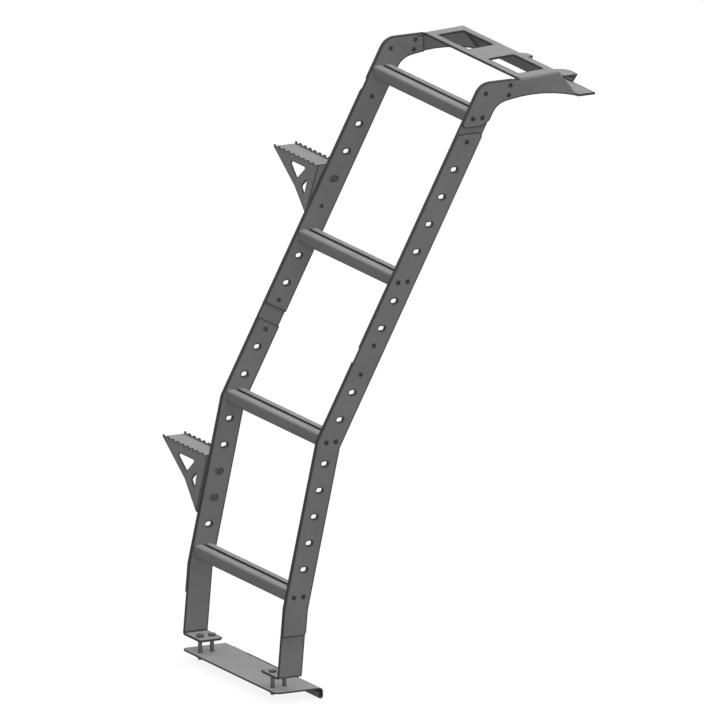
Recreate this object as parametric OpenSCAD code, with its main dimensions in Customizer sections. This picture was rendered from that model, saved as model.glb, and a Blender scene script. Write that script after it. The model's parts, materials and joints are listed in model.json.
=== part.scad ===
// Ladder for the rear door of a van, drawn with the middle of the bottom rung at Y 0, Z 0.
// X runs across, Y towards the van, Z up. place() then moves the origin under the roof foot.

/* [Rails] */
// Width over the outer faces of the two rails
ladder_w = 402; // [330:1:520]
// Thickness of each rail layer and of the roof bracket
plate_t = 4; // [3:0.5:6]
// Width of a rail, square to its run
rail_w = 50; // [42:1:60]
// Lean of the foot below the lower knee, degrees
lean_foot = 4.9; // [0:0.1:10]
// Lean of the lower rail, degrees
lean_mid = 12.4; // [8:0.1:16]
// Lean of the upper rail, degrees
lean_top = 27.8; // [20:0.1:32]
// Drop of the lower knee below the bottom rung
knee_low_drop = 23; // [18:1:50]
// Drop of the upper knee below its rung
knee_high_drop = 3.7; // [0:0.1:10]
// Drop of the outer layer's lower end below the bottom rung
outer_end_drop = 75; // [60:1:100]
// Drop of the feet's undersides below the bottom rung
foot_drop = 156.5; // [140:0.5:180]
// Reach of each foot inwards from its rail
foot_reach = 72; // [65:1:90]
// Outer radius where a foot folds out of its rail
foot_fold_r = 7; // [5:0.5:9]
// Clipped inner corner of a foot
foot_clip = 8; // [4:0.5:12]
// Radius of the rail layers' outer corners
corner_r = 8; // [4:0.5:12]
// Height of the splice above the middle between the second and third rungs
splice_rise = 4; // [0:0.5:20]
// Gap between the inner layers at the splice, along the rail
splice_gap = 29.5; // [10:0.5:40]
// Distance of the splice screws from the splice's middle, along the rail
splice_screw = 30; // [24:0.5:40]

/* [Rungs] */
// Distance between the lower three rungs, up the ladder
rung_pitch = 293; // [280:1:300]
// Distance between the upper two rungs
rung_top_pitch = 299.7; // [290:0.1:305]
// Shift of the knee rung towards the van
knee_rung_shift = 2.8; // [0:0.1:6]
// Depth of a rung, front to back
rung_d = 40; // [34:1:44]
// Height of a rung
rung_h = 25; // [20:1:28]
// Rise of a rung's middle above its screws
rung_rise = 2.9; // [0:0.1:4]
// Corner radius of a rung
rung_r = 5; // [2:0.5:7]
// Opening of the grip slot along the top of a rung
slot_w = 7; // [5:0.5:8]
// Inner width of the grip slot
slot_in_w = 11; // [9.5:0.5:12]
// Height of the slot's lips
slot_lip = 3; // [2:0.5:4]
// Depth of the grip slot
slot_d = 8; // [6:0.5:8.5]
// Distance between the two screws in a rung's end
rung_screw_gap = 20; // [19:0.5:24]
// Bore for a rung screw in the rails
rung_screw_bore = 6.4; // [6:0.1:7]
// Bore of the screw ports along a rung
port_bore = 5.2; // [4.5:0.1:5.8]
// Wall of a rung
rung_wall = 2.5; // [2:0.1:3]

/* [Rail holes] */
// Length of the accessory slots, front to back
acc_l = 14.5; // [10:0.1:18]
// Height of the accessory slots
acc_h = 9.4; // [7:0.1:10]
// Distance between accessory slots, up the ladder
acc_pitch = 50; // [45:1:52]
// Lowest accessory slot above the bottom rung
acc_first = 52.7; // [45:0.1:60]
// Lowest accessory slot above the third rung
acc_second = 41.6; // [35:0.1:45]
// Highest accessory slot below the second rung
acc_third = 34.4; // [30:0.1:45]
// Lowest accessory slot above the second rung
acc_fourth = 55.9; // [45:0.1:60]
// Bore of the small joining holes
join_bore = 6; // [4:0.1:7]
// Bore of the upper step's second hole, in the left rail
pin_bore = 5; // [4:0.1:6]

/* [Gooseneck and roof bracket] */
// Height of the arm's top above the top rung
arm_rise = 67.3; // [60:0.1:80]
// Outer radius of the gooseneck
neck_r = 33; // [20:1:45]
// Inner radius of the gooseneck
throat_r = 38; // [25:1:45]
// Depth of the arm at its throat
arm_depth = 43.5; // [38:0.5:50]
// Drop of the cheeks' lower ends below the top rung
cheek_drop = 16.7; // [14:0.1:22]
// Gap between a cheek and the outer rail layer
cheek_gap = 10; // [5:1:15]
// Distance from the gooseneck's corner to the cross sheet
sheet_start = 81; // [76:0.1:90]
// Length of the cross sheet up to its crown
sheet_l = 84.9; // [80:0.1:100]
// Rear joining holes of an arm, in front of the cross sheet
arm_hole_back = 20.8; // [16:0.1:24]
// Rise of the cross sheet towards its crown
crown_rise = 4.2; // [0:0.1:8]
// Length of the sloped flange, front to back
slope_l = 38; // [30:0.5:50]
// Length of the foot flange
foot_l = 36.5; // [25:0.5:50]
// Drop of the foot flange's underside below the arm's top
seat_drop = 49; // [42:0.5:60]
// Height of the arch under the arms
arch_h = 22.5; // [15:0.5:26]
// Top of the arch, in front of the crown
arch_back = 36; // [25:1:45]
// Radius of the arch
arch_r = 300; // [150:10:320]
// Outer radius of the folds along the cheeks
fold_r = 6; // [4.5:0.5:9]
// Inner radius of the folds across the bracket
bend_r = 4; // [2:0.5:6]
// Width of the rib between the two windows
window_rib = 82; // [60:1:120]
// Margin beside each window
window_side = 35; // [25:1:50]
// Margin in front of the windows
window_front = 15.4; // [12:0.1:24]
// Length of the windows
window_l = 53; // [40:1:56]
// Corner radius of the windows
window_r = 4.5; // [3:0.5:12]
// Gap between the inner layer's rear end and the cross sheet
inner_gap = 0.5; // [0.3:0.1:2]
// Length of the step in the inner layer's rear upper corner
inner_notch = 12.8; // [10:0.1:16]
// Thickness of the lugs behind the sloped flange
lug_t = 3; // [2:0.5:4]
// Height of a lug
lug_h = 14.2; // [10:0.1:18]
// Width of the middle lug
lug_mid_w = 40; // [30:1:60]
// Width of the right lug
lug_side_w = 54; // [40:1:80]
// Reach of the middle lug behind the crown
lug_mid_reach = 27; // [22:0.5:32]
// Reach of the right lug behind the crown
lug_side_reach = 38.5; // [30:0.5:42]
// Rounding of the lugs' inner rear corner
lug_corner_r = 26; // [10:1:30]

/* [Side steps] */
// Reach of a step beyond the rail
step_reach = 183; // [170:1:220]
// Depth of a step, front to back
step_d = 48; // [44:1:50]
// Height of the upper step's brackets at the rail
step_h = 96; // [90:1:110]
// Height of the lower step's brackets at the rail
step_low_h = 110; // [100:1:114]
// Height of a step's brackets at their tip
step_tip_h = 4; // [3:0.5:10]
// Thickness of the steps' sheet
step_t = 3; // [2:0.5:4]
// Knuckle of a bracket's underside, out from the rail
knuckle_x = 68; // [60:1:80]
// Knuckle of the upper brackets' underside, below the teeth
knuckle_d = 55; // [50:1:60]
// Knuckle of the lower brackets' underside, below the teeth
knuckle_low_d = 60; // [55:1:64]
// Web above and below a bracket's windows
step_web = 14.5; // [10:0.5:18]
// Width of the strut between a bracket's windows
step_strut = 24; // [20:0.5:28]
// Inner point of the large window, in from the knuckle
window_in = 26; // [22:1:30]
// Outer point of the upper brackets' large window, in from the tip
window_tip = 72; // [60:1:80]
// Outer point of the lower brackets' large window, in from the tip
window_low_tip = 64; // [60:1:80]
// Height of the teeth above the tread
tooth_h = 4; // [2:0.5:5]
// Pitch of the teeth
tooth_pitch = 20; // [18:1:24]
// Radius of the hollows between the teeth
tooth_r = 8.6; // [7:0.1:9]
// Lean of the upper step's brackets, degrees
step_lean_up = 16.7; // [12:0.1:20]
// Height of the upper step's teeth above its upper bolt
step_up_rise = 27.9; // [22:0.1:32]
// Front edge of the upper step, in front of its upper bolt
step_up_front = 29.9; // [24:0.1:34]
// Height of the lower step's teeth above its upper bolt
step_low_rise = 31.2; // [26:0.1:36]
// Front edge of the lower step, in front of its upper bolt
step_low_front = 21.8; // [16:0.1:28]
// Bore for a step bolt
step_bore = 8; // [6:0.1:8]

/* [Bottom hook plate] */
// Thickness of the hook plate
hook_t = 3; // [2:0.5:4]
// Room between the feet and the hook plate, for the foot of the door
door_gap = 25.5; // [15:0.5:35]
// Margin of the hook plate inside the rails' outer faces
hook_margin = 6.5; // [5:0.5:10]
// Front edge of the hook plate, in front of the clamp bolts
hook_front = 29.5; // [25:0.5:40]
// Start of the rear fold, behind the clamp bolts
hook_back = 64; // [55:0.5:75]
// Radius of the hook plate's front corners
hook_corner_r = 13; // [8:1:20]
// Depth of the hook below the plate's top
hook_drop = 21; // [18:1:30]
// Inner radius of the hook plate's fold
hook_fold_r = 4.5; // [3:0.5:6]
// Gap inside the hook
hook_gap = 4; // [3:0.5:6]
// Height of the hook's front leg
hook_leg = 9; // [5:0.5:11]
// Notch left of the hook
hook_notch = 29.5; // [20:0.5:40]
// Distance from the hook plate's ends to the slot along its fold
hook_slot_end = 89; // [70:0.5:110]
// Width of the slot along the fold
hook_slot_w = 5; // [3:0.5:6]
// Distance of the clamp bolts inside the rails' outer faces
clamp_inset = 51; // [45:0.5:60]
// Distance between the two clamp bolts of a foot
clamp_gap = 25; // [22:1:26]
// Diameter of the clamp bolts
bolt_d = 8; // [6:1:8]
// Clearance round a clamp bolt, on the radius
bolt_clear = 0.25; // [0.1:0.05:0.4]
// Width of the clamp bolts' heads and nuts across their flats
hex_af = 13; // [12:0.5:14]
// Height of a clamp bolt's head
head_h = 5.3; // [4:0.1:6]
// Height of a clamp nut
nut_h = 6.5; // [5:0.5:8]
// Bolt end standing out of a clamp nut
bolt_out = 4.5; // [2:0.5:10]

/* [Hidden] */
half_w = ladder_w / 2;
inner_x = half_w - 2 * plate_t;
// Heights up the ladder
rung_zs = [2 * rung_pitch + rung_top_pitch, 2 * rung_pitch, rung_pitch, 0];
knee_low_z = -knee_low_drop;
knee_high_z = rung_pitch - knee_high_drop;
outer_end_z = -outer_end_drop;
foot_z = -foot_drop;
rung_ys = [rail_y(rung_zs[0]), rail_y(rung_zs[1]), rail_y(rung_zs[2]) + knee_rung_shift, 0];
splice_z = 1.5 * rung_pitch + splice_rise;
splice_cut = splice_gap / 2 * cos(lean_top);
splice_hole = splice_screw * cos(lean_top);
acc_zs = concat([for (i = [0:4]) acc_first + i * acc_pitch],
  [for (i = [0:1]) rung_zs[2] + acc_second + i * acc_pitch],
  [for (i = [0:1]) rung_zs[1] - acc_third + (i - 1) * acc_pitch],
  [for (i = [0:3]) rung_zs[1] + acc_fourth + i * acc_pitch]);
arm_z = rung_zs[0] + arm_rise;
throat_z = arm_z - arm_depth;
cheek_z = rung_zs[0] - cheek_drop;
outer_top_z = cheek_z - cheek_gap;
seat_z = arm_z - seat_drop;
// Lengths towards the van
sheet_y = edge(arm_z, -1)[0] + sheet_start;
crown_y = sheet_y + sheet_l;
foot_fold_y = crown_y + slope_l;
foot_flange_y = foot_fold_y + foot_l;
flange_y = (foot_fold_y + foot_flange_y) / 2;
window_y = sheet_y + window_front;
crown = [crown_y, arm_z + crown_rise];
fold = [foot_fold_y, seat_z + plate_t];
slope_a = atan2(fold[1] - crown[1], fold[0] - crown[0]);
crown_a = atan2(crown_rise, sheet_l);
hook_z = foot_z - door_gap;
clamp_x = half_w - clamp_inset;
clamp_y = rail_y(foot_z);
hook_rear_y = clamp_y + hook_back;
lug_z = crown[1] - slope_l / 4;
lug_fold = 0.73;
lug_a = atan(lug_fold);
pin_z = acc_zs[9];
bolt_l = plate_t + door_gap + hook_t + nut_h + bolt_out;
dark = [0.24, 0.24, 0.25];
steel = [0.62, 0.63, 0.64];

// Centre line of a rail
function rail_y(z) = z < knee_low_z ? tan(lean_mid) * knee_low_z + tan(lean_foot) * (z - knee_low_z)
  : z < knee_high_z ? tan(lean_mid) * z
  : tan(lean_mid) * knee_high_z + tan(lean_top) * (z - knee_high_z);
function lean_at(z) = z < knee_low_z ? lean_foot : z < knee_high_z ? lean_mid : lean_top;
// Edge of a rail, s -1 in front and 1 towards the van
function edge(z, s) = [rail_y(z) + s * rail_w / 2 / cos(lean_at(z)), z];
function knee(z, a, b, s) = [rail_y(z) + s * rail_w / 2 * cos((a + b) / 2) / cos((a - b) / 2),
  z - s * rail_w / 2 * sin((a + b) / 2) / cos((a - b) / 2)];
function low_knee(s) = knee(knee_low_z, lean_foot, lean_mid, s);
function high_knee(s) = knee(knee_high_z, lean_mid, lean_top, s);
// End of an inner layer cut square to the rail
function square_end(z, s) = [rail_y(z) + s * rail_w / 2 * cos(lean_top), z - s * rail_w / 2 * sin(lean_top)];

function unit(v) = v / norm(v);
function turn(a) = a > 180 ? a - 360 : a < -180 ? a + 360 : a;
function corner_arc(a, b, c, r, n = 6) = r <= 0 ? [b] :
  let (u = unit(a - b), w = unit(c - b), half = acos(u * w) / 2, d = r / tan(half))
  let (ctr = b + unit(u + w) * r / sin(half), p = b + u * d - ctr, q = b + w * d - ctr)
  let (a0 = atan2(p[1], p[0]), da = turn(atan2(q[1], q[0]) - a0))
  [for (i = [0:n]) ctr + r * [cos(a0 + da * i / n), sin(a0 + da * i / n)]];
function nrm(a, b) = let (d = unit(b - a)) [-d[1], d[0]];
function xy(p) = [p[0], p[1]];
function rad(p, r) = [p[0], p[1], r];
// Corners given as [x, y, radius]
function round_poly(p) = [for (i = [0:len(p) - 1])
  each corner_arc(xy(p[(i + len(p) - 1) % len(p)]), xy(p[i]), xy(p[(i + 1) % len(p)]),
    len(p[i]) > 2 ? p[i][2] : 0)];

module place() translate([0, -flange_y, -seat_z]) children();

// A shape drawn in Y and Z, given thickness along X
module yz(x0, t) translate([x0, 0, 0]) rotate([90, 0, 90]) linear_extrude(height = t) children();

// One layer of a rail: layer 0 outside, 1 inside
module layer(side, k) yz(side > 0 ? half_w - plate_t * (k + 1) : -half_w + plate_t * k, plate_t) children();

module hole_at(y, z, d) translate([y, z]) circle(d = d, $fn = 36);
module slot_at(y, z) {
  square_l = acc_l - acc_h;
  translate([y - square_l / 2, z - acc_h / 2]) square([square_l, acc_h]);
  for (s = [-1, 1]) hole_at(y + s * square_l / 2, z, acc_h);
}

// Every hole through the rails; each layer keeps those that fall inside it
module rail_holes(side, z0, z1) {
  for (i = [0:3], s = [-1, 1])
    if (rung_zs[i] > z0 && rung_zs[i] < z1)
      hole_at(rung_ys[i] + s * rung_screw_gap / 2, rung_zs[i], rung_screw_bore);
  for (z = acc_zs)
    if (z > z0 && z < z1 && (side > 0 || z != pin_z)) slot_at(rail_y(z), z);
  if (side < 0 && pin_z > z0 && pin_z < z1) hole_at(rail_y(pin_z), pin_z, pin_bore);
  for (z = [splice_z - splice_hole, splice_z + splice_hole, outer_top_z - cheek_drop])
    if (z > z0 && z < z1) hole_at(rail_y(z), z, join_bore);
}

// Joining holes between the cheeks and the arm
module arm_holes() {
  hole_at(sheet_y - sheet_start + rung_d / 4, arm_z - arm_depth / 2, join_bore);
  for (s = [-1, 1]) hole_at(sheet_y - arm_hole_back + s * arm_depth / 25,
    arm_z - arm_depth * (0.465 - s * 0.215), join_bore);
}

// Quarter round taken off a fold whose edge runs along Y, material towards -X and -Z
module fold_cut(len, r) rotate([-90, 0, 0]) linear_extrude(height = len) difference() {
  translate([-r, -1]) square(r + 1);
  translate([-r, r]) circle(r = r, $fn = 48);
}

module outer_rail(side) layer(side, 0) difference() {
  polygon(round_poly([edge(outer_end_z, -1), low_knee(-1), high_knee(-1),
    rad(edge(outer_top_z, -1), corner_r), rad(edge(outer_top_z, 1), corner_r),
    high_knee(1), low_knee(1), rad(edge(outer_end_z, 1), corner_r)]));
  rail_holes(side, outer_end_z, outer_top_z);
}

module lower_inner_plate(side) difference() {
  union() {
    layer(side, 1) difference() {
      polygon([square_end(splice_z - splice_cut, -1), square_end(splice_z - splice_cut, 1),
        high_knee(1), low_knee(1), edge(foot_z, 1), edge(foot_z, -1), low_knee(-1), high_knee(-1)]);
      rail_holes(side, foot_z, splice_z - splice_cut);
    }
    mirror([side > 0 ? 0 : 1, 0, 0]) translate([0, 0, foot_z]) linear_extrude(height = plate_t)
      difference() {
        polygon(round_poly([[half_w - plate_t, edge(foot_z, -1)[0]],
          [half_w - plate_t - foot_reach, edge(foot_z, -1)[0], foot_clip / 2],
          [half_w - plate_t - foot_reach, edge(foot_z, 1)[0] - foot_clip],
          [half_w - plate_t - foot_reach + foot_clip, edge(foot_z, 1)[0]],
          [half_w - plate_t, edge(foot_z, 1)[0]]]));
        for (s = [-1, 1]) translate([clamp_x, clamp_y + s * clamp_gap / 2])
          circle(d = bolt_d + 2 * bolt_clear, $fn = 36);
      }
  }
  mirror([side > 0 ? 0 : 1, 0, 0]) translate([half_w - plate_t, -rail_w * 2, foot_z])
    mirror([0, 0, 1]) fold_cut(rail_w * 4, foot_fold_r);
}

// Underside of the arm from the roof foot back to the throat
function arm_under() = [[fold[0] + plate_t - 1, seat_z],
  [crown_y - arch_back, seat_z + arch_h, arch_r],
  [edge(throat_z, 1)[0], throat_z, throat_r]];

module upper_inner_plate(side) layer(side, 1) difference() {
  polygon(round_poly(concat([square_end(splice_z + splice_cut, -1), rad(edge(arm_z, -1), neck_r)],
    [[fold[0], arm_z]], arm_under(), [square_end(splice_z + splice_cut, 1)])));
  translate([sheet_y - inner_gap, seat_z - rail_w]) square([sheet_l * 3, rail_w * 4]);
  translate([sheet_y - inner_notch, arm_z - plate_t]) square([sheet_l * 3, plate_t * 3]);
  rail_holes(side, splice_z + splice_cut, arm_z - arm_depth / 2);
  arm_holes();
}

// Outer face of the folded cross sheet, then the same path one thickness in
module cross_sheet() {
  v = tan((crown_a - slope_a) / 2) * plate_t;
  w = tan(-slope_a / 2) * plate_t;
  n = [-sin(crown_a), cos(crown_a)] * plate_t;
  polygon(round_poly([[sheet_y, arm_z], rad(crown, bend_r + plate_t), rad(fold, bend_r),
    [foot_flange_y, fold[1]], [foot_flange_y, seat_z], [fold[0] - w, seat_z, bend_r + plate_t],
    rad(crown - n - v * [cos(crown_a), sin(crown_a)], bend_r), [sheet_y, arm_z - plate_t]]));
}

module cheek() difference() {
  polygon(round_poly(concat([rad(edge(cheek_z, -1), corner_r), rad(edge(arm_z, -1), neck_r),
    [sheet_y, arm_z], rad(crown, bend_r + plate_t), fold],
    arm_under(), [edge(cheek_z + cheek_gap, 1), [edge(cheek_z, 1)[0] - cheek_gap, cheek_z]])));
  for (s = [-1, 1]) hole_at(rung_ys[0] + s * rung_screw_gap / 2, rung_zs[0], rung_screw_bore);
  arm_holes();
}

module bracket_folds() for (s = [0, 1]) mirror([s, 0, 0]) {
  translate([half_w, sheet_y, arm_z]) rotate([crown_a, 0, 0]) fold_cut(sheet_l + 3 * plate_t, fold_r);
  translate([half_w, crown[0], crown[1]]) rotate([slope_a, 0, 0]) translate([0, -6, 0])
    fold_cut(norm(fold - crown) + 2, fold_r);
}

module roof_bracket() color(dark) place() difference() {
  union() {
    for (s = [-1, 1]) layer(s, 0) cheek();
    yz(-half_w, ladder_w) cross_sheet();
  }
  bracket_folds();
  for (s = [0, 1]) mirror([s, 0, 0]) translate([0, 0, arm_z - arm_depth / 2])
    linear_extrude(height = arm_depth) polygon(round_poly([for (q = [[0, 0], [1, 0], [1, 1], [0, 1]])
      [q[0] > 0 ? half_w - window_side : window_rib / 2, window_y + q[1] * window_l, window_r]]));
}

// Bent lug welded behind the sloped flange: a level run and a leg folded down and forwards
module roof_lug(x0, x1, rear_y) color(dark) place() intersection() {
  difference() {
    translate([0, rear_y, 0]) yz(x0, x1 - x0) polygon([[-slope_l, lug_z], [0, lug_z],
      [-lug_h * lug_fold, lug_z - lug_h], [-lug_h * lug_fold - lug_t / cos(lug_a), lug_z - lug_h],
      [-lug_t * (tan(lug_a) + 1 / cos(lug_a)), lug_z - lug_t], [-slope_l, lug_z - lug_t]]);
    yz(-half_w - 1, ladder_w + 2) polygon([crown + slope_l * unit(crown - fold),
      fold - slope_l * unit(crown - fold), [sheet_y, fold[1]], [sheet_y, crown[1]]]);
  }
  linear_extrude(height = arm_z + rail_w) polygon(round_poly([[x0, crown_y], [x1, crown_y],
    [x1, rear_y, lug_t], [x0, rear_y, lug_corner_r]]));
}
module roof_lug_centre() roof_lug(0, lug_mid_w, crown_y + lug_mid_reach);
module roof_lug_right() roof_lug(half_w - lug_side_w, half_w, crown_y + lug_side_reach);

module upper_inner_plate_left() color(dark) place() upper_inner_plate(-1);
module upper_inner_plate_right() color(dark) place() upper_inner_plate(1);
module outer_rail_left() color(dark) place() outer_rail(-1);
module outer_rail_right() color(dark) place() outer_rail(1);
module lower_inner_plate_left() color(dark) place() lower_inner_plate(-1);
module lower_inner_plate_right() color(dark) place() lower_inner_plate(1);

// Extruded rung: rounded box, grip slot on top, two screw ports right through
module rung(i) color(dark) place() translate([0, rung_ys[i], rung_zs[i] + rung_rise])
  yz(-inner_x, inner_x * 2) difference() {
    polygon(round_poly([for (q = [[-1, -1], [1, -1], [1, 1], [-1, 1]])
      [q[0] * rung_d / 2, q[1] * rung_h / 2, rung_r]]));
    translate([-slot_w / 2, rung_h / 2 - slot_lip - 1]) square([slot_w, slot_lip + 2]);
    translate([-slot_in_w / 2, rung_h / 2 - slot_d]) square([slot_in_w, slot_d - slot_lip]);
    for (s = [-1, 1]) hole_at(s * rung_screw_gap / 2, -rung_rise, port_bore);
    difference() {
      square([rung_d - 2 * rung_wall, rung_h - 2 * rung_wall], center = true);
      translate([-slot_in_w / 2 - rung_wall, rung_h / 2 - slot_d - rung_wall])
        square([slot_in_w + 2 * rung_wall, rung_h]);
      for (s = [-1, 1]) {
        hole_at(s * rung_screw_gap / 2, -rung_rise, port_bore + 2 * rung_wall);
        translate([s * rung_screw_gap / 2 - rung_wall / 2, -rung_h / 2]) square([rung_wall, rung_h / 2]);
        translate([s * (rung_d - rung_r) / 2, -rung_rise])
          square([rung_screw_gap - rung_r, rung_wall], center = true);
      }
      for (y = [-1, 1], z = [-1, 1]) translate([y * (rung_d / 2 - rung_wall), z * (rung_h / 2 - rung_wall)])
        rotate([0, 0, 45]) square(rung_wall * 1.6, center = true);
    }
  }
module rung_1() rung(0);
module rung_2() rung(1);
module rung_3() rung(2);
module rung_4() rung(3);

// Bracket side: X outwards, Y down the lean, with a toothed top and two windows
module step_side(h, kd, tip) difference() {
  polygon([[0, 0], [step_reach, 0], [step_reach, step_tip_h], [knuckle_x, kd],
    [step_t / 2, h - step_t / 2], [0, h - step_t / 2]]);
  a = [step_reach - tip, step_web + kd - knuckle_d];
  b = [knuckle_x - window_in, a[1]];
  c = [knuckle_x - 2, kd - step_web];
  n = nrm(b, c) * step_strut;
  d = b + n + (c - b) * 0.1;
  e = c + n - (c - b) * 0.27;
  polygon(round_poly([rad(a, step_t), rad(b, step_t), rad(c, step_t)]));
  polygon(round_poly([rad(d, 2), rad(e, 2), [d[0] - 4, e[1] + step_web, 2]]));
  for (x = [step_reach - tooth_pitch / 2 : -tooth_pitch : tooth_pitch / 2])
    translate([x, tooth_h - 0.4 - tooth_r]) circle(r = tooth_r, $fn = 48);
}
module step_bracket(y0, z0, lean, bolts, h, kd, tip) color(dark) place() {
  run = h * [sin(lean), cos(lean)];
  // The flange's edges lie within the thickness of the sides
  a = [y0 + step_t / 2, z0];
  b = [y0 + step_d - step_t / 2, z0];
  for (r = [0, 1]) translate([-half_w, y0 + r * step_d, z0]) rotate([-lean, 0, 0])
    translate([0, (1 - r) * step_t, 0]) rotate([90, 0, 0]) rotate([0, 0, 180])
    linear_extrude(height = step_t) step_side(h, kd, tip);
  yz(-half_w - step_t, step_t) difference() {
    polygon([a, b, b - run, a - run]);
    for (z = bolts) hole_at(rail_y(z), z, step_bore);
  }
}
// Level tread set between the two bracket sides, below the teeth
module step_tread(y0, z0, lean) color(dark) place() yz(-half_w - step_reach, step_reach - step_t) {
  a = step_t / cos(lean);
  polygon([for (q = [[0, 0], [1, 0], [1, 1], [0, 1]])
    [y0 + q[0] * (step_d - 2 * a) + a - (tooth_h + q[1] * step_t) * tan(lean),
      z0 - tooth_h - q[1] * step_t]]);
}
up_y = rail_y(acc_zs[10]) - step_up_front;
up_z = acc_zs[10] + step_up_rise;
low_y = rail_y(acc_zs[2]) - step_low_front;
low_z = acc_zs[2] + step_low_rise;
module upper_step_bracket() step_bracket(up_y, up_z, step_lean_up, [acc_zs[9], acc_zs[10]],
  step_h, knuckle_d, window_tip);
module upper_step_tread() step_tread(up_y, up_z, step_lean_up);
module lower_step_bracket() step_bracket(low_y, low_z, lean_mid, [acc_zs[1], acc_zs[2]],
  step_low_h, knuckle_low_d, window_low_tip);
module lower_step_tread() step_tread(low_y, low_z, lean_mid);

// Fold at the rear edge: quarter turn down, leg, then a tight return in front
module hook_fold() {
  r = hook_fold_r;
  y = hook_rear_y + r;
  zb = hook_z - hook_drop;
  u = hook_gap / 2;
  difference() {
    union() {
      translate([hook_rear_y, hook_z - hook_t - r]) intersection() {
        circle(r = r + hook_t, $fn = 48);
        square(r + hook_t);
      }
      translate([y, zb + u + hook_t]) square([hook_t, hook_drop - u - r - 2 * hook_t]);
      translate([y - u, zb + u + hook_t]) intersection() {
        circle(r = u + hook_t, $fn = 48);
        translate([-hook_drop, -2 * hook_drop]) square(2 * hook_drop);
      }
      translate([y - 2 * u - hook_t, zb + u + hook_t]) square([hook_t, hook_leg]);
    }
    translate([hook_rear_y, hook_z - hook_t - r]) intersection() {
      circle(r = r, $fn = 48);
      square(r);
    }
    translate([y - u, zb + u + hook_t]) circle(r = u, $fn = 36);
  }
}
module bottom_hook_plate() color(dark) place() {
  x = half_w - hook_margin;
  difference() {
    union() {
      translate([0, 0, hook_z - hook_t]) linear_extrude(height = hook_t)
        polygon(round_poly([[-x, clamp_y - hook_front, hook_corner_r],
          [x, clamp_y - hook_front, hook_corner_r], [x, hook_rear_y], [-x, hook_rear_y]]));
      yz(-x + hook_notch, 2 * x - hook_notch) hook_fold();
    }
    translate([hook_slot_end - x, hook_rear_y - 1, hook_z - hook_t - 1])
      cube([2 * (x - hook_slot_end), hook_slot_w, hook_t + 2]);
    for (x = [-clamp_x, clamp_x], s = [-1, 1])
      translate([x, clamp_y + s * clamp_gap / 2, hook_z - hook_t - 1])
        cylinder(d = bolt_d + 2 * bolt_clear, h = hook_t + 2, $fn = 36);
  }
}

module clamp_bolt(sx, sy) color(steel) place() translate([sx * clamp_x, clamp_y + sy * clamp_gap / 2, 0]) {
  translate([0, 0, foot_z + plate_t]) cylinder(d = hex_af / cos(30), h = head_h, $fn = 6);
  translate([0, 0, foot_z + plate_t - bolt_l]) cylinder(d = bolt_d, h = bolt_l + 1, $fn = 36);
}
module clamp_nut(sx, sy) color(steel) place() translate([sx * clamp_x, clamp_y + sy * clamp_gap / 2, 0])
  translate([0, 0, hook_z - hook_t - nut_h]) difference() {
    cylinder(d = hex_af / cos(30), h = nut_h, $fn = 6);
    translate([0, 0, -1]) cylinder(d = bolt_d + bolt_clear, h = nut_h + 2, $fn = 36);
  }
module clamp_bolt_left_front() clamp_bolt(-1, -1);
module clamp_bolt_left_rear() clamp_bolt(-1, 1);
module clamp_bolt_right_front() clamp_bolt(1, -1);
module clamp_bolt_right_rear() clamp_bolt(1, 1);
module clamp_nut_left_front() clamp_nut(-1, -1);
module clamp_nut_left_rear() clamp_nut(-1, 1);
module clamp_nut_right_front() clamp_nut(1, -1);
module clamp_nut_right_rear() clamp_nut(1, 1);

roof_bracket();
roof_lug_centre();
roof_lug_right();
upper_inner_plate_left();
upper_inner_plate_right();
outer_rail_left();
outer_rail_right();
lower_inner_plate_left();
lower_inner_plate_right();
rung_1();
rung_2();
rung_3();
rung_4();
upper_step_bracket();
upper_step_tread();
lower_step_bracket();
lower_step_tread();
bottom_hook_plate();
clamp_bolt_left_front();
clamp_bolt_left_rear();
clamp_bolt_right_front();
clamp_bolt_right_rear();
clamp_nut_left_front();
clamp_nut_left_rear();
clamp_nut_right_front();
clamp_nut_right_rear();
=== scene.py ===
import bpy, bmesh, json, math
from mathutils import Vector, Matrix


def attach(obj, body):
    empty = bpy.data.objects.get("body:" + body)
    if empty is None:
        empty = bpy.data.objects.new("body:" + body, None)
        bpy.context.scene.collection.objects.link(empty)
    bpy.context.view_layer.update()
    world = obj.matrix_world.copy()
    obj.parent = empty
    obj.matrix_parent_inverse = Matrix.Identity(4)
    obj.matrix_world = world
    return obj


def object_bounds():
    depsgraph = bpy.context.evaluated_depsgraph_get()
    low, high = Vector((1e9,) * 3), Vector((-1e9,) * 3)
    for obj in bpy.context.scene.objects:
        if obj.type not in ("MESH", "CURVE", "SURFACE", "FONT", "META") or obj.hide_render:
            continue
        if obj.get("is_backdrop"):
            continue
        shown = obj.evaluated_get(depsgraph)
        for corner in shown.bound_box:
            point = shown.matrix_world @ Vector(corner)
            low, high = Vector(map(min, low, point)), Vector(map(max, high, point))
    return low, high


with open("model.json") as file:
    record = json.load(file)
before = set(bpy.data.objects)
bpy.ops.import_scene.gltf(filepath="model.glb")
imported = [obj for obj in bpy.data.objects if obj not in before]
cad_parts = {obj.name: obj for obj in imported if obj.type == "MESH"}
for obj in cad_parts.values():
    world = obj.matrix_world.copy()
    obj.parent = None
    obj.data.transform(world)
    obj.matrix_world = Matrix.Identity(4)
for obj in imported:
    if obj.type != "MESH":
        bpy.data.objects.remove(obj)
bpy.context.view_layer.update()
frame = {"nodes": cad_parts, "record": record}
MM = 0.001

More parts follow.
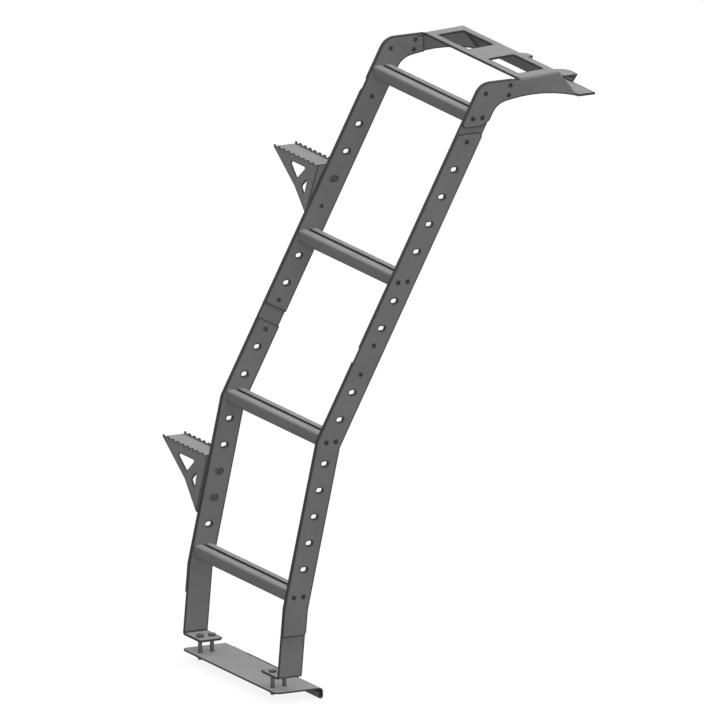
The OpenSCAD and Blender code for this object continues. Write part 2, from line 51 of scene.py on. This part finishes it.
# Places
# Lengths are in millimetres from the middle of the bottom rung, X across, Y towards the van and Z up.
# row() turns a place into the frame's metres.
HALF_W = 201.0
PLATE = 4.0
STEP_T = 3
RAIL_W = 50
KNEE_LOW, KNEE_HIGH = -23, 289.3
LEAN_TOP = math.radians(27.8)
T_FOOT = math.tan(math.radians(4.9))
T_MID = math.tan(math.radians(12.4))
T_TOP = math.tan(LEAN_TOP)
RUNG_PITCH, TOP_PITCH = 293.0, 299.7
ARM_TOP = 953.0


def rail_y(z):
    """Middle of a rail at a height, along its foot, its lower and its upper lean."""
    if z < KNEE_LOW:
        return KNEE_LOW * T_MID + (z - KNEE_LOW) * T_FOOT
    if z < KNEE_HIGH:
        return z * T_MID
    return KNEE_HIGH * T_MID + (z - KNEE_HIGH) * T_TOP


RUNG_Z = (2 * RUNG_PITCH + TOP_PITCH, 2 * RUNG_PITCH, RUNG_PITCH, 0.0)
KNEE_RUNG_SHIFT = 2.8
RUNG_Y = (rail_y(RUNG_Z[0]), rail_y(RUNG_Z[1]), rail_y(RUNG_Z[2]) + KNEE_RUNG_SHIFT, 0.0)

# The roof bracket, from the front of the arms to the middle of its foot flange, which is the frame's origin
ARM_FRONT = rail_y(ARM_TOP) - RAIL_W / 2 / math.cos(LEAN_TOP)
SHEET_START, SHEET_L, SLOPE_L, FLANGE_L = 81, 84.9, 38, 36.5
SHEET_Y = ARM_FRONT + SHEET_START
SEAT_Y = SHEET_Y + SHEET_L + SLOPE_L + FLANGE_L / 2
SEAT_Z = 904.0


def row(x, y, z):
    return Vector((x, y - SEAT_Y, z - SEAT_Z)) * MM


# Material tools
def new_mat(name):
    mat = bpy.data.materials.new(name)
    mat.use_nodes = True
    return mat, mat.node_tree, mat.node_tree.nodes["Principled BSDF"]


def link(nt, a, b):
    nt.links.new(a, b)


def object_place(nt):
    return nt.nodes.new("ShaderNodeTexCoord").outputs["Object"]


def noise(nt, place, scale, detail):
    n = nt.nodes.new("ShaderNodeTexNoise")
    n.inputs["Scale"].default_value = scale
    n.inputs["Detail"].default_value = detail
    link(nt, place, n.inputs["Vector"])
    return n.outputs["Fac"]


def ranged(nt, value, low, high, start=0.0, end=1.0):
    """Turns start to end into low to high."""
    r = nt.nodes.new("ShaderNodeMapRange")
    r.inputs["From Min"].default_value = start
    r.inputs["From Max"].default_value = end
    r.inputs["To Min"].default_value = low
    r.inputs["To Max"].default_value = high
    link(nt, value, r.inputs["Value"])
    return r.outputs["Result"]


def two_tones(nt, value, stops):
    """Blends two colours; a stop is a value and the colour there."""
    ramp = nt.nodes.new("ShaderNodeValToRGB")
    for element, (position, color) in zip(ramp.color_ramp.elements, stops):
        element.position = position
        element.color = (*color, 1)
    link(nt, value, ramp.inputs["Fac"])
    return ramp.outputs["Color"]


def multiply(nt, color):
    """A node that multiplies a colour by its second colour."""
    m = nt.nodes.new("ShaderNodeMix")
    m.data_type = "RGBA"
    m.blend_type = "MULTIPLY"
    link(nt, color, m.inputs["A"])
    return m


def darker(nt, color, mask, tone):
    """Multiplies a colour by the tone where the mask is 1."""
    m = multiply(nt, color)
    link(nt, mask, m.inputs["Factor"])
    m.inputs["B"].default_value = (tone, tone, tone, 1)
    return m.outputs["Result"]


def near_mask(nt, reach, inside, start, full):
    """Inside, 1 on an outer edge and a thin sheet's rim. Outside, 1 in a narrow slot or hole.

    The mask grows from 0 at the openness start to 1 at full. The reach is in millimetres.
    """
    near = nt.nodes.new("ShaderNodeAmbientOcclusion")
    near.inside = inside
    near.only_local = True
    near.samples = 8
    near.inputs["Distance"].default_value = reach * MM
    return ranged(nt, near.outputs["AO"], 0.0, 1.0, start, full)


# Materials
TONE = 0.19
EDGE_TONE = 0.3
EDGE_START, EDGE_FULL = 0.97, 0.72
# Painted shade: the coat darkens in grooves, slots, holes and inner corners, most where they are least open.
SHADE_REACH = 9
SHADE_TONE = 0.28
SHADE_START, SHADE_FULL = 0.8, 0.48


def powder_coat(name, reach, seed):
    """Fine-textured powder coat: orange peel, slight tone drift, darker edges, and painted shade in grooves.
    """
    mat, nt, bsdf = new_mat(name)
    bsdf.inputs["IOR"].default_value = 1.45
    bsdf.inputs["Specular IOR Level"].default_value = 0.05
    shift = nt.nodes.new("ShaderNodeMapping")
    shift.inputs["Location"].default_value = (seed, seed * 0.7, seed * 1.3)
    link(nt, object_place(nt), shift.inputs["Vector"])
    place = shift.outputs["Vector"]
    fine = noise(nt, place, 900, 3)
    broad = noise(nt, place, 9, 5)
    speck = noise(nt, place, 260, 2)

    low, high = TONE * 0.93, TONE * 1.06
    drift = two_tones(nt, broad, ((0.35, (low, low, low * 1.015)), (0.66, (high, high, high * 1.02))))
    grain = multiply(nt, drift)
    grain.inputs["Factor"].default_value = 1.0
    link(nt, ranged(nt, speck, 0.95, 1.05, 0.35, 0.65), grain.inputs["B"])
    edges = near_mask(nt, reach, True, EDGE_START, EDGE_FULL)
    # painted shade in narrow grooves, slots, holes and inner corners
    groove_shade = near_mask(nt, SHADE_REACH, False, SHADE_START, SHADE_FULL)
    worn = darker(nt, grain.outputs["Result"], edges, EDGE_TONE)
    link(nt, darker(nt, worn, groove_shade, SHADE_TONE), bsdf.inputs["Base Color"])

    link(nt, ranged(nt, broad, 0.58, 0.72, 0.3, 0.7), bsdf.inputs["Roughness"])
    bump = nt.nodes.new("ShaderNodeBump")
    bump.inputs["Strength"].default_value = 0.12
    bump.inputs["Distance"].default_value = 0.4 * MM
    link(nt, fine, bump.inputs["Height"])
    link(nt, bump.outputs["Normal"], bsdf.inputs["Normal"])
    return mat


def dark_zinc(name, tone):
    """Black zinc plating: half metallic, with a faint cloudy mottle."""
    mat, nt, bsdf = new_mat(name)
    bsdf.inputs["Metallic"].default_value = 0.55
    cloud = noise(nt, object_place(nt), 220, 4)
    low = (tone * 0.85, tone * 0.86, tone * 0.88)
    high = (tone * 1.1, tone * 1.1, tone * 1.12)
    link(nt, two_tones(nt, cloud, ((0.35, low), (0.7, high))), bsdf.inputs["Base Color"])
    link(nt, ranged(nt, cloud, 0.34, 0.52), bsdf.inputs["Roughness"])
    return mat


# The reach of the dark edges follows the sheet's thickness: a thin sheet gets less.
MATS = {
    "rail_coat": powder_coat("rail_powder_coat", 3.8, 1.0),
    "bracket_coat": powder_coat("bracket_powder_coat", 3.8, 2.0),
    "rung_coat": powder_coat("rung_powder_coat", 2.4, 3.0),
    "step_coat": powder_coat("step_powder_coat", 2.8, 4.0),
    "hook_coat": powder_coat("hook_powder_coat", 2.8, 5.0),
    "bolt_steel": dark_zinc("black_zinc", 0.09),
}
LUG_COAT = powder_coat("lug_powder_coat", 2.6, 2.0)
# A near-black copy of the black oxide for the screws' hex sockets: painted shade in the recess.
SOCKET_SHADE = dark_zinc("socket_painted_shade", 0.012)
BLACK_STEEL = dark_zinc("black_oxide", 0.035)


# The solids from the frame: materials, smooth arcs and fine bevels
BEVEL_W = 0.5
BEVEL_ANGLE = 38
SMOOTH_ANGLE = 30
FLAT_ANGLE = 0.5
WELD_GAP = 0.02


def smooth_group():
    """Shades every edge flatter than SMOOTH_ANGLE smooth, so arcs and bores have no facets."""
    g = bpy.data.node_groups.new("smooth_arcs", "GeometryNodeTree")
    g.interface.new_socket("Geometry", in_out="INPUT", socket_type="NodeSocketGeometry")
    g.interface.new_socket("Geometry", in_out="OUTPUT", socket_type="NodeSocketGeometry")
    first = g.nodes.new("NodeGroupInput")
    last = g.nodes.new("NodeGroupOutput")
    angle = g.nodes.new("GeometryNodeInputMeshEdgeAngle")
    sharp = g.nodes.new("FunctionNodeCompare")
    sharp.data_type = "FLOAT"
    sharp.operation = "GREATER_THAN"
    sharp.inputs["B"].default_value = math.radians(SMOOTH_ANGLE)
    faces = g.nodes.new("GeometryNodeSetShadeSmooth")
    edges = g.nodes.new("GeometryNodeSetShadeSmooth")
    edges.domain = "EDGE"
    edges.inputs["Shade Smooth"].default_value = False
    link(g, angle.outputs["Unsigned Angle"], sharp.inputs["A"])
    link(g, first.outputs[0], faces.inputs["Geometry"])
    link(g, faces.outputs[0], edges.inputs["Geometry"])
    link(g, sharp.outputs[0], edges.inputs["Selection"])
    link(g, edges.outputs[0], last.inputs[0])
    return g


def dress(o, mat, smooth):
    """Gives a solid its material, merges its flat facets, and rounds its edges a little."""
    o.data.materials.clear()
    o.data.materials.append(mat)
    o.modifiers.new("weld", "WELD").merge_threshold = WELD_GAP * MM
    flat = o.modifiers.new("flat", "DECIMATE")
    flat.decimate_type = "DISSOLVE"
    flat.angle_limit = math.radians(FLAT_ANGLE)
    o.modifiers.new("smooth", "NODES").node_group = smooth
    bevel = o.modifiers.new("edge", "BEVEL")
    bevel.width = BEVEL_W * MM
    bevel.segments = 2
    bevel.limit_method = "ANGLE"
    bevel.angle_limit = math.radians(BEVEL_ANGLE)
    bevel.use_clamp_overlap = True
    bevel.harden_normals = True


smooth_arcs = smooth_group()
slot_of = {s["node"]: s["material_slot"] for s in frame["record"]["subparts"]}
for name, o in frame["nodes"].items():
    dress(o, LUG_COAT if "lug" in name else MATS[slot_of[name]], smooth_arcs)

# Fastener tools. The meshes are drawn in millimetres round Z, and finish_piece turns them into metres.
SEG = 36


def add_object(name, data):
    o = bpy.data.objects.new(name, data)
    bpy.context.scene.collection.objects.link(o)
    return o


def ring(bm, radius, z, seg=SEG):
    """Vertices round Z; radius gives the distance from Z at an angle."""
    angles = [2 * math.pi * i / seg for i in range(seg)]
    return [bm.verts.new((radius(a) * math.cos(a), radius(a) * math.sin(a), z)) for a in angles]


def circle(bm, r, z, seg=SEG):
    """A ring of one radius, or a single vertex where the radius is 0."""
    return ring(bm, lambda a: r, z, seg) if r else [bm.verts.new((0, 0, z))]


def hexagon(af):
    """Distance from the middle of a hexagon to its outline at an angle; af is its width across the flats."""
    return lambda a: af / 2 / math.cos((a + math.pi / 6) % (math.pi / 3) - math.pi / 6)


def bridge(bm, rings, mat_index=0, smooth=False):
    """Joins each ring to the next; a single vertex closes in a fan."""
    for a, b in zip(rings, rings[1:]):
        count = max(len(a), len(b))
        for i in range(count):
            j = (i + 1) % count
            near = a if len(a) == 1 else [a[i], a[j]]
            far = b if len(b) == 1 else [b[j], b[i]]
            face = bm.faces.new(near + far)
            face.smooth = smooth
            face.material_index = mat_index


def cap_ends(bm, first, last):
    bm.faces.new(last)
    bm.faces.new(list(reversed(first)))


def finish_piece(name, bm, at, axis, mats):
    """Makes the piece, with its Z along the axis and its origin at a place in the frame."""
    bmesh.ops.scale(bm, vec=(MM, MM, MM), verts=bm.verts)
    bmesh.ops.recalc_face_normals(bm, faces=bm.faces)
    me = bpy.data.meshes.new(name)
    bm.to_mesh(me)
    bm.free()
    o = add_object(name, me)
    turn = Vector(axis).to_track_quat("Z", "Y").to_matrix().to_4x4()
    o.matrix_world = Matrix.Translation(at) @ turn
    for mat in mats:
        me.materials.append(mat)
    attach(o, "root")


def set_screw(name, at, axis, r, length, af):
    """Socket screw in its hole. at is the middle of its outer end, and the shank runs back along the axis."""
    chamfer, rim, socket = 0.35, 0.1, 1.8
    mouth_r = af * 0.6
    bm = bmesh.new()
    profile = ((0, -length), (r - chamfer, -length), (r, -length + chamfer), (r, -chamfer),
               (r - chamfer, 0), (mouth_r, 0))
    shank = [circle(bm, *point) for point in profile]
    mouth = ring(bm, hexagon(af), -rim)
    bottom = ring(bm, hexagon(af), -socket)
    bridge(bm, shank, smooth=True)
    bridge(bm, [shank[-1], mouth])
    # The socket's walls and floor take the painted shade.
    bridge(bm, [mouth, bottom], mat_index=1)
    bm.faces.new(bottom).material_index = 1
    finish_piece(name, bm, at, axis, (BLACK_STEEL, SOCKET_SHADE))


def slot_nut(name, at, r):
    """Oblong nut that fills an accessory slot of the left rail, with the bolt's end in its middle."""
    length, height, thick, edge, dish = 14.1, 9.0, 6.6, 0.5, 1.3
    half_turn = 24
    bm = bmesh.new()

    def outline(inset, z):
        half, rad = (length - height) / 2, height / 2 - inset
        points = []
        for i in range(2 * half_turn):
            a = math.pi * (i % half_turn) / (half_turn - 1) - math.pi / 2
            s = 1 if i < half_turn else -1
            points.append(bm.verts.new((s * (half + rad * math.cos(a)), s * rad * math.sin(a), z)))
        return points

    sides = [outline(edge, -thick), outline(0, edge - thick), outline(0, -edge), outline(edge, 0),
             outline(dish, -edge)]
    bridge(bm, sides)
    cap_ends(bm, sides[0], sides[-1])
    dome = [circle(bm, *point, seg=32) for point in ((r, -0.9), (r, 0.1), (r - edge, 0.5), (0, 0.5))]
    bridge(bm, dome, mat_index=1, smooth=True)
    bm.faces.new(list(reversed(dome[0]))).material_index = 1
    finish_piece(name, bm, at, (1, 0, 0), (MATS["bolt_steel"], BLACK_STEEL))


def hex_nut(name, at, axis, r):
    """Chamfered hex nut on a seat, with the end of a bolt of radius r standing out of it."""
    af, height, out, taper = r * 10 / 3, r * 5 / 3, 1.5, 0.96
    corner = af / 2 / math.cos(math.radians(30))
    flat = hexagon(af)
    bm = bmesh.new()
    sides = [ring(bm, lambda a: min(flat(a), corner * reach), height * rise)
             for rise, reach in ((0, 0.97), (0.06, 1.0), (0.88, 1.0), (1, 0.9))]
    sides += [circle(bm, r, height), circle(bm, r * taper, height + out)]
    bridge(bm, sides)
    cap_ends(bm, sides[0], sides[-1])
    finish_piece(name, bm, at, axis, (MATS["bolt_steel"],))


# Fasteners of the rungs and the rail layers. SUNK is how far a screw lies inside the rail's outer face.
SUNK = 0.7
RUNG_SCREW = 10
JOINING_SCREWS = [(name, rail_y(z), z) for name, z in
                  (("splice_low", 416.97), ("splice_high", 470.03), ("rail_top", 842.3))]
JOINING_SCREWS += [(name, y, ARM_TOP - drop) for name, y, drop in
                   (("arm_front", ARM_FRONT + 10, 21.75), ("arm_upper", SHEET_Y - 19.06, 10.9),
                    ("arm_lower", SHEET_Y - 22.54, 29.6))]
for side, word in ((1, "right"), (-1, "left")):
    face_x = side * (HALF_W - SUNK)
    for i, (y, z) in enumerate(zip(RUNG_Y, RUNG_Z)):
        for shift, end in ((-RUNG_SCREW, "front"), (RUNG_SCREW, "rear")):
            set_screw(f"rung_{i + 1}_screw_{word}_{end}", row(face_x, y + shift, z), (side, 0, 0),
                      3.1, 7.2, 3.4)
    for name, y, z in JOINING_SCREWS:
        set_screw(f"{name}_screw_{word}", row(face_x, y, z), (side, 0, 0), 2.9, 2 * (PLATE - SUNK), 3.2)

# Bolts of the side steps, through slots of the left rail, and through one round hole at PIN_Z
PIN_Z = 641.9
NUT_SUNK = 1.2
INNER_X = 2 * PLATE - HALF_W
for step, heights in (("upper", (PIN_Z, 691.9)), ("lower", (102.7, 152.7))):
    for k, z in enumerate(heights, start=1):
        bolt = f"{step}_step_bolt_{k}"
        if z == PIN_Z:
            r = 2.4
            set_screw(bolt, row(INNER_X - SUNK, rail_y(z), z), (1, 0, 0), r, 12, 2.6)
        else:
            r = 3.4
            slot_nut(bolt, row(INNER_X - NUT_SUNK, rail_y(z), z), r)
        hex_nut(f"{step}_step_nut_{k}", row(-HALF_W - STEP_T, rail_y(z), z), (-1, 0, 0), r)


# Floor and world: bright where they are seen, dull where they light the object. The seen floor glows,
# and a share of lit paper in it takes the object's shadow.
PAPER_GLOW = 0.91
PAPER_SHARE = 0.2
FLOOR_BOUNCE = 0.07
AMBIENT = 0.5
FLOOR_HALF = 30.0
FLOOR_GAP = 0.5


def seen_directly(nt):
    """1 for camera, glossy and transmission rays."""
    path = nt.nodes.new("ShaderNodeLightPath")
    seen = path.outputs["Is Camera Ray"]
    for other in ("Is Glossy Ray", "Is Transmission Ray"):
        larger = nt.nodes.new("ShaderNodeMath")
        larger.operation = "MAXIMUM"
        link(nt, seen, larger.inputs[0])
        link(nt, path.outputs[other], larger.inputs[1])
        seen = larger.outputs[0]
    return seen


def mix_shaders(nt, factor, first, second):
    """The factor is a share of the second shader, or a socket that gives it."""
    mixed = nt.nodes.new("ShaderNodeMixShader")
    if isinstance(factor, float):
        mixed.inputs[0].default_value = factor
    else:
        link(nt, factor, mixed.inputs[0])
    link(nt, first, mixed.inputs[1])
    link(nt, second, mixed.inputs[2])
    return mixed.outputs[0]


def floor_paper():
    mat, nt, bsdf = new_mat("floor_paper")
    bsdf.inputs["Base Color"].default_value = (0.9, 0.9, 0.9, 1)
    bsdf.inputs["Roughness"].default_value = 0.9
    glow = nt.nodes.new("ShaderNodeEmission")
    glow.inputs["Strength"].default_value = PAPER_GLOW
    dull = nt.nodes.new("ShaderNodeBsdfDiffuse")
    dull.inputs["Color"].default_value = (FLOOR_BOUNCE, FLOOR_BOUNCE, FLOOR_BOUNCE, 1)
    paper = mix_shaders(nt, PAPER_SHARE, glow.outputs[0], bsdf.outputs[0])
    surface = mix_shaders(nt, seen_directly(nt), dull.outputs[0], paper)
    link(nt, surface, nt.nodes["Material Output"].inputs["Surface"])
    return mat


def make_floor(z):
    me = bpy.data.meshes.new("floor")
    bm = bmesh.new()
    corners = ((-1, -1), (1, -1), (1, 1), (-1, 1))
    bm.faces.new([bm.verts.new((x * FLOOR_HALF, y * FLOOR_HALF, z)) for x, y in corners])
    bm.to_mesh(me)
    bm.free()
    me.materials.append(floor_paper())
    add_object("floor", me)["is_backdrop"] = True


def make_world():
    world = bpy.data.worlds.new("studio")
    bpy.context.scene.world = world
    world.use_nodes = True
    nt = world.node_tree
    sky = nt.nodes["Background"]
    sky.inputs["Color"].default_value = (1, 1, 1, 1)
    link(nt, ranged(nt, seen_directly(nt), AMBIENT, 1.0), sky.inputs["Strength"])


def sun(name, towards, level, angle=10, shadow=False):
    """Level is what a white face square to the lamp would show."""
    lamp = bpy.data.lights.new(name, "SUN")
    lamp.energy = level * math.pi
    lamp.angle = math.radians(angle)
    lamp.use_shadow = shadow
    lamp.cycles.cast_shadow = shadow
    add_object(name, lamp).rotation_euler = Vector(towards).to_track_quat("Z", "Y").to_euler()


make_floor(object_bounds()[0].z - FLOOR_GAP * MM)
make_world()
sun("key_above", (0.0, 0.33, 1), 0.35, angle=60, shadow=True)
sun("fill_above", (0.0, 0.33, 1), 0.78)
sun("fill_right", (1, 0, 0), 0.33)
sun("fill_front", (0, -1, 0.7), 0.25)
sun("fill_behind", (-1, 1, 0), 0.3)

# Camera. The photograph has no perspective, and PX is the millimetres in one of its pixels. The pixel
# RAIL_U, RAIL_V is where the outer face of the right rail lies at the height of the bottom rung.
AZIMUTH, ELEVATION = math.radians(63.0), math.radians(14.2)
PX = 1.88
PHOTO_W, PHOTO_H = 704, 722
RAIL_U, RAIL_V = 298.6, 597.6
CAMERA_BACK = 4.0


def make_camera():
    back = Vector((math.sin(AZIMUTH) * math.cos(ELEVATION), -math.cos(AZIMUTH) * math.cos(ELEVATION),
                   math.sin(ELEVATION)))
    right = Vector((math.cos(AZIMUTH), math.sin(AZIMUTH), 0))
    up = back.cross(right)
    across = (PHOTO_W / 2 - RAIL_U) * PX + right.x * HALF_W
    above = (RAIL_V - PHOTO_H / 2) * PX + up.x * HALF_W
    data = bpy.data.cameras.new("camera")
    data.type = "ORTHO"
    data.ortho_scale = PHOTO_H * PX * MM
    data.clip_start = 0.1
    data.clip_end = 60
    camera = add_object("camera", data)
    camera.rotation_mode = "QUATERNION"
    camera.rotation_quaternion = back.to_track_quat("Z", "Y")
    camera.location = (right * across + up * above) * MM + row(0, 0, 0) + back * CAMERA_BACK
    bpy.context.scene.camera = camera


make_camera()
bpy.context.scene.view_settings.view_transform = "Standard"
